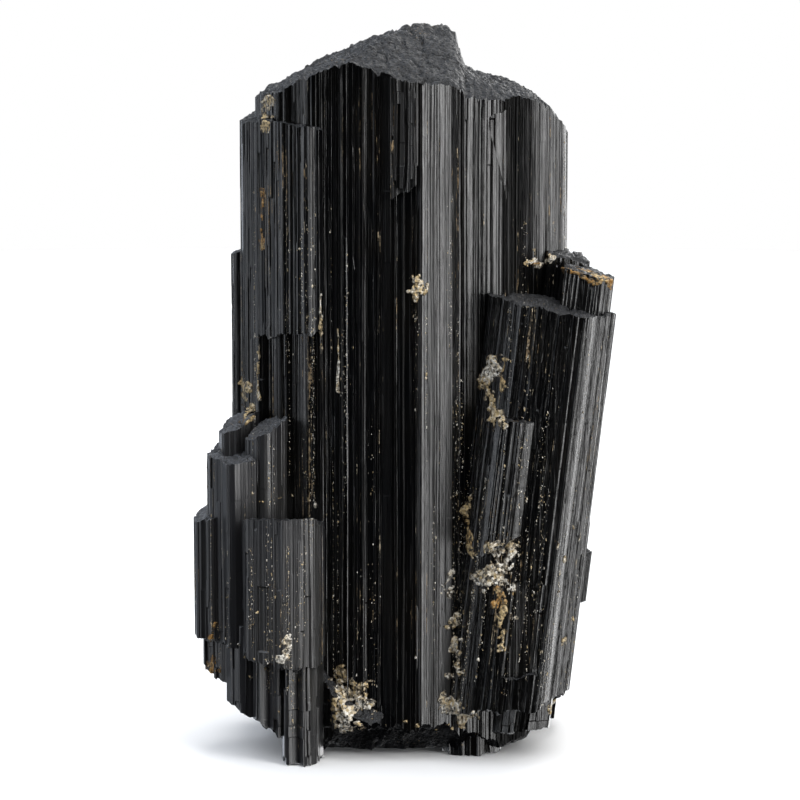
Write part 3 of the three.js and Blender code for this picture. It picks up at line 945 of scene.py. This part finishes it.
# Thin crusts with no lump of their own: the node they lie by, their plot, rustiness, lean, girth, buds.
# Those in TURNED lie on a side that faces that many degrees right of the front.
THIN_CRUSTS = {
    "feldspar_streak": ("feldspar_fork", (-1.5, 1.2, 0.35, 1.6), 0.75, 0.1, 0.5, 1),
    "feldspar_rusty_grains": ("feldspar_fork", (-0.2, -1.6, 0.4, 0.5), 1.0, 0.3, 0.5, 2),
    "feldspar_under_fork": ("feldspar_fork", (0, -3, 0.4, 1), 0.65, 0.2, 0.45, 3),
    "feldspar_beside_upper_seam": ("feldspar_in_upper_seam", (1, 0.4, 0.4, 0.7), 0.7, 0.6, 0.6, 2),
    "feldspar_on_right_lump": ("leaning_crystals", (0.2, -0.9, 0.2, 0.05), 0.4, 0.2, 0.35, 3),
    "feldspar_above_leaning": ("leaning_crystals", (0.1, 0.95, 0.2, 0.05), 0.3, 0.1, 0.25, 2),
    "feldspar_on_stubs": ("leaning_crystals", (0.3, 0.9, 0.2, 0.08), 0.9, -0.6, 0.2, 2),
    "rusty_streak": ("feldspar_on_shoulder", (-0.5, -6, 0.25, 1.9), 1.0, 0.1, 0.8, 0),
    "feldspar_strip_on_left": ("feldspar_on_left_flank", (1.6, 2.2, 0.3, 2.4), 0.5, 0.1, 0.6, 1),
    "feldspar_on_right_flank": ("leaning_crystals", (-0.2, -0.4, 0.5, 0.4), 0.3, 0.2, 0.06, 9),
    "feldspar_on_front_rim": ("main_crystal", (0.05, -0.9, 0.4, 0.02), 0.55, 0, 0.2, 9),
    "feldspar_dash_high": ("main_crystal", (-0.45, 0.2, 0.01, 0.1), 0.3, 0.1, 0.8, 0),
    "feldspar_dash_low": ("main_crystal", (-0.35, 0.1, 0.01, 0.1), 0.2, 0.1, 0.8, 0),
    "feldspar_slab_rim": ("left_crystals", (0.4, 0.5, 0.5, 0.01), 0.6, 0, 0.9, 8),
    "feldspar_on_low_left": ("left_crystals", (0.2, -0.4, 0.6, 0.4), 0.5, 0.3, 0.05, 8),
    "feldspar_on_left_lobe": ("left_crystals", (-0.7, -0.4, 0.15, 0.2), 1.0, 0.5, 0.4, 3),
}

# Thin crusts of loose patches, with no stem.
LOOSE_PATCHES = (
    "feldspar_slab_rim", "feldspar_on_front_rim", "feldspar_on_low_left", "feldspar_on_right_flank",
)

TURNED = {"feldspar_on_stubs": 40, "feldspar_on_right_flank": 60, "feldspar_on_right_lump": 25}

# Dust of grains: the node, the way it faces, how many strips and grains, rustiness.
DUST = [
    ("main_crystal", 0, 30, 2600, 0.2), ("leaning_crystals", 0, 14, 1100, 0.2),
    ("left_crystals", 0, 12, 700, 0.35), ("main_crystal", 60, 10, 500, 0.3),
    ("main_crystal", 120, 10, 500, 0.35), ("main_crystal", 180, 14, 800, 0.35),
    ("main_crystal", -120, 10, 500, 0.35), ("main_crystal", -60, 10, 500, 0.3),
]


def dust_zones(seed):
    """Upright strips for the grains to lie in. Each node's strips are drawn at random across and up its
    box, most of them narrow, and share the node's grains by their height."""
    rng = np.random.default_rng(seed)
    zones = []
    for node, turn, strips, grains, tone in DUST:
        middle, half = plot(node, 0, 0, 1, 1, turn)
        lean = math.degrees(LEAN) if node == "leaning_crystals" else 0
        across = rng.uniform(-0.85, 0.85, strips) * half[0]
        tall = rng.uniform(0.1, 0.45, strips) * half[1]
        up = middle[1] + rng.uniform(-0.9, 0.5, strips) * (half[1] - tall)
        wide = 0.3 * np.exp(0.9 * rng.standard_normal(strips))
        count = np.maximum(3, grains * tall / tall.sum()).astype(int)
        for k in range(strips):
            zones.append((turn, middle[0] + across[k], up[k], wide[k], tall[k], lean, count[k], 0.05, tone))
    return zones


big = main_crystal()
left = left_crystals()
leaning = leaning_crystals()
for piece, node in ((big, "main_crystal"), (left, "left_crystals"), (leaning, "leaning_crystals")):
    settle(piece)
    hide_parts(node)
    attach(piece, "root")

target = whole([big, left, leaning])
habits = {name: ((name, 0, 0, 1, 1), habit) for name, habit in LUMP_HABITS.items()}
habits |= {name: ((node, *place), tuple(habit)) for name, (node, place, *habit) in THIN_CRUSTS.items()}
for k, (name, (place, (tone, lean, girth, buds))) in enumerate(habits.items()):
    turn = TURNED.get(name, 0)
    strokes = growth(*plot(*place, turn), lean, girth, buds, 300 + k, name not in LOOSE_PATCHES)
    lump = crust(target, name + "_crust", turn, tone, strokes, 200 + 10 * k)
    if name in LUMP_HABITS:
        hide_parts(name)
    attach(lump, "root")
loose = specks(target, "feldspar_specks", dust_zones(88), 77)
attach(loose, "root")
drop(target)

# ---------------------------------------------------------------- floor, light and camera

TARGET = (-0.0005, 0.0, 0.05586)
CAMERA_RISE = math.radians(8)
CAMERA_FAR = 0.486
FLOOR_RADIUS = 900.0
FLOOR_SIDES = 96
LAMP_AIM = 0.055  # the height above the floor that the lamps turn about
RIGHT_PANEL = 50.0  # the middles of the two soft panels, in degrees right of the front
LEFT_PANEL = -84.0


def floor():
    """A pale round floor: a disc of one ring of points."""
    turn = np.linspace(0, 2 * np.pi, FLOOR_SIDES, endpoint=False)
    level = np.full(FLOOR_SIDES, -FLOOR_GAP)
    points = np.stack([FLOOR_RADIUS * np.cos(turn), FLOOR_RADIUS * np.sin(turn), level], 1)
    material = bpy.data.materials.new("pale_floor")
    t = Tree(material)
    t.finish(**{"Base Color": (0.86, 0.86, 0.86, 1), "Roughness": 0.9})
    ground = mesh_from("floor", points, [list(range(FLOOR_SIDES))], material)
    ground.visible_glossy = False
    ground.visible_diffuse = False


def softbox(name, turn, rise, far, width, height, light, colour=(1, 1, 1)):
    """A flat lamp at an angle round from the front and up from the floor, facing the specimen."""
    lamp = bpy.data.lights.new(name, "AREA")
    lamp.shape = "RECTANGLE"
    lamp.size, lamp.size_y = width, height
    lamp.energy = light * math.pi * width * height
    lamp.color = colour
    holder = bpy.data.objects.new(name, lamp)
    a, e = math.radians(turn), math.radians(rise)
    way = np.array([math.sin(a) * math.cos(e), -math.cos(a) * math.cos(e), math.sin(e)])
    holder.location = way * far + np.array([0, 0, LAMP_AIM])
    holder.rotation_euler = (math.pi / 2 - e, 0, a)
    holder.visible_camera = False
    holder.visible_glossy = rise < 30  # the two high lamps don't show in the black gloss
    bpy.context.scene.collection.objects.link(holder)


def sky():
    """Plain white behind everything. For light and reflections: a soft panel on the right of the front, one
    on the left, white behind and overhead, and almost nothing from the front."""
    world = bpy.data.worlds.new("studio")
    bpy.context.scene.world = world
    t = Tree(world)
    x, y, z = t.parts(t.node("ShaderNodeTexCoord", {}, out="Generated"))
    turn = t.node("ShaderNodeMath", {"operation": "ARCTAN2"}, x, 0.0 - y) * (180 / math.pi)
    skirt = t.ramp(z, -0.6, -0.35)
    right = t.ramp((turn - RIGHT_PANEL).size(), 29.0, 0.0)
    left = t.ramp((turn - LEFT_PANEL).size(), 40.0, 4.0)
    back = t.ramp(turn, 109.0, 130.0).most(t.ramp(0.0 - turn, 125.0, 155.0)) * t.ramp(z, 0.75, 0.1)
    above = t.ramp(z, 0.45, 0.9)
    low = t.ramp(z, -0.30, -0.08) * 0.5 + 0.5
    behind = back * (1.35 + t.ramp(turn, 125.0, 150.0) * 2.2)
    light = 0.006 + right * right * low * skirt * 7.6 + left * low * skirt * 0.95 + behind + above * 1.1
    seen = t.node("ShaderNodeLightPath", {}, out="Is Camera Ray")
    tint = t.mix(t.ramp(turn, 20.0, -20.0), (1.0, 1.0, 1.0), (0.90, 0.97, 1.08))
    shine = t.node("ShaderNodeBackground", {}, Color=tint, Strength=light)
    plain = t.node("ShaderNodeBackground", {}, Color=(1, 1, 1, 1), Strength=1.0)
    t.node("ShaderNodeOutputWorld", {}, t.node("ShaderNodeMixShader", {}, seen, shine, plain))


def camera():
    lens = bpy.data.cameras.new("camera")
    lens.lens = 135
    lens.sensor_width = 36
    lens.clip_start, lens.clip_end = 0.01, 20
    holder = bpy.data.objects.new("camera", lens)
    x, y, z = TARGET
    holder.location = (x, y - CAMERA_FAR * math.cos(CAMERA_RISE), z + CAMERA_FAR * math.sin(CAMERA_RISE))
    holder.rotation_euler = (math.pi / 2 - CAMERA_RISE, 0, 0)
    bpy.context.scene.collection.objects.link(holder)
    bpy.context.scene.camera = holder


floor()
sky()
camera()
softbox("right_front", 47, 6, 0.8, 0.13, 1.1, 2.6)
softbox("left", -75, 6, 0.8, 0.13, 1.1, 2.0)
softbox("overhead", 165, 76, 0.8, 0.4, 0.4, 8.0)
softbox("feldspar_fill", -12, 38, 0.8, 0.5, 0.5, 2.4)
bpy.context.scene.view_settings.view_transform = "Standard"
